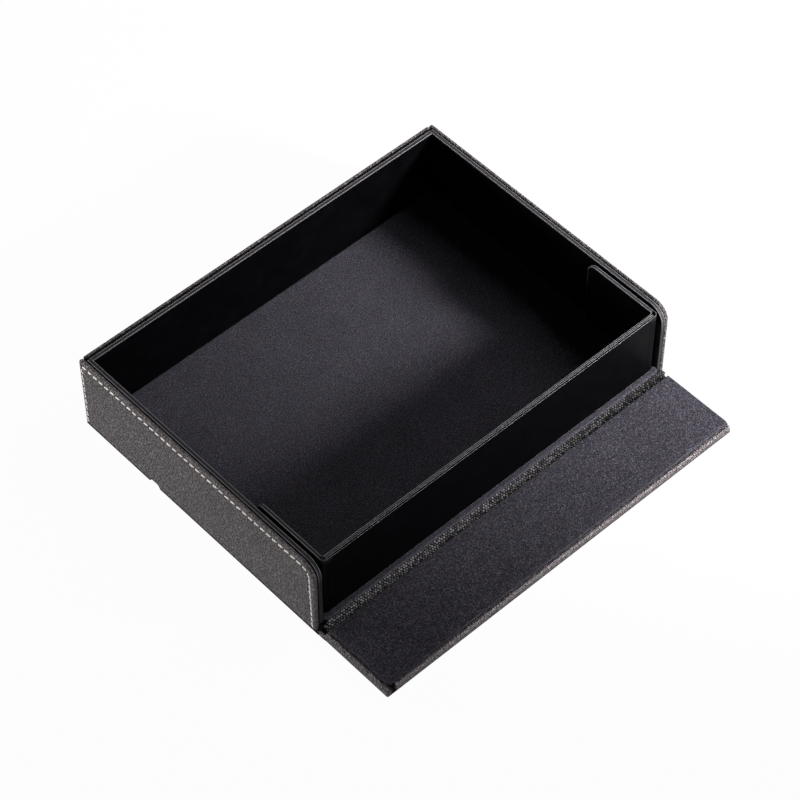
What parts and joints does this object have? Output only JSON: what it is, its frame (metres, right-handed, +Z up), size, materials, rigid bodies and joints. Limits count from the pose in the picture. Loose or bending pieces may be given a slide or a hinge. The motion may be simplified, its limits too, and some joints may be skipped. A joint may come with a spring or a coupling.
{
  "type": "dice storage chest",
  "caption": "Leather-covered dice chest tray with stitched side panels, a lift-out front wall with folding side tabs, and a felt-faced flap hinged at its foot.",
  "frame": {"origin": "on the table, under the middle of the stitched side panels", "axes": "+X right along the front wall, +Y towards the back wall, +Z up out of the tray"},
  "size_m": [0.1956, 0.1842, 0.0412],
  "materials": {
    "outer_leather": "fine grain, semi-matte",
    "hinge_leather": "coarse pebbled",
    "felt": "short-napped charcoal felt",
    "lining": "smooth black wrapping",
    "greyboard": "raw board, hidden",
    "thread": "twisted cream thread",
    "magnet": "plated disc, hidden"
  },
  "bodies": {
    "chest": {"bottom_leather": "outer_leather", "bottom_board_front": "greyboard", "bottom_board_rear": "greyboard", "floor_board": "greyboard", "floor_felt": "felt", "back_panel_board": "greyboard", "back_panel_leather": "outer_leather", "back_wall_board": "greyboard", "back_wall_lining": "lining", "hinge_leather": "outer_leather", "hinge_lining": "hinge_leather", "left_panel_board": "greyboard", "right_panel_board": "greyboard", "left_panel_leather": "outer_leather", "right_panel_leather": "outer_leather", "left_panel_stitching": "thread", "right_panel_stitching": "thread", "left_wall_board": "greyboard", "right_wall_board": "greyboard", "left_wall_lining": "lining", "right_wall_lining": "lining", "left_wall_magnet": "magnet", "right_wall_magnet": "magnet"},
    "flap": {"flap_leather": "outer_leather", "flap_board": "greyboard", "flap_magnets": "magnet", "flap_felt": "felt"},
    "front_wall": {"front_wall_board": "greyboard", "front_wall_lining": "lining", "front_wall_magnets": "magnet", "left_corner_hinge": "lining", "right_corner_hinge": "lining"},
    "left_tab": {"left_tab_board": "greyboard", "left_tab_lining": "lining", "left_tab_magnet": "magnet"},
    "right_tab": {"right_tab_board": "greyboard", "right_tab_lining": "lining", "right_tab_magnet": "magnet"}
  },
  "joints": [
    {"name": "flap_hinge", "type": "hinge", "parent": "chest", "child": "flap", "pos_m": [0, -0.0748, 0.0031], "axis": [-1, 0, 0], "range_deg": [0, 90], "deforming": ["hinge_leather", "hinge_lining"]},
    {"name": "front_wall_lift", "type": "slide", "parent": "chest", "child": "front_wall", "axis": [0, 0, 1], "range_m": [0, 0.06]},
    {"name": "left_tab_fold", "type": "hinge", "parent": "front_wall", "child": "left_tab", "pos_m": [-0.09005, -0.068, 0.0061], "axis": [0, 0, -1], "range_deg": [0, 90], "deforming": ["left_corner_hinge"]},
    {"name": "right_tab_fold", "type": "hinge", "parent": "front_wall", "child": "right_tab", "pos_m": [0.09005, -0.068, 0.0061], "axis": [0, 0, 1], "range_deg": [0, 90], "deforming": ["right_corner_hinge"]}
  ]
}
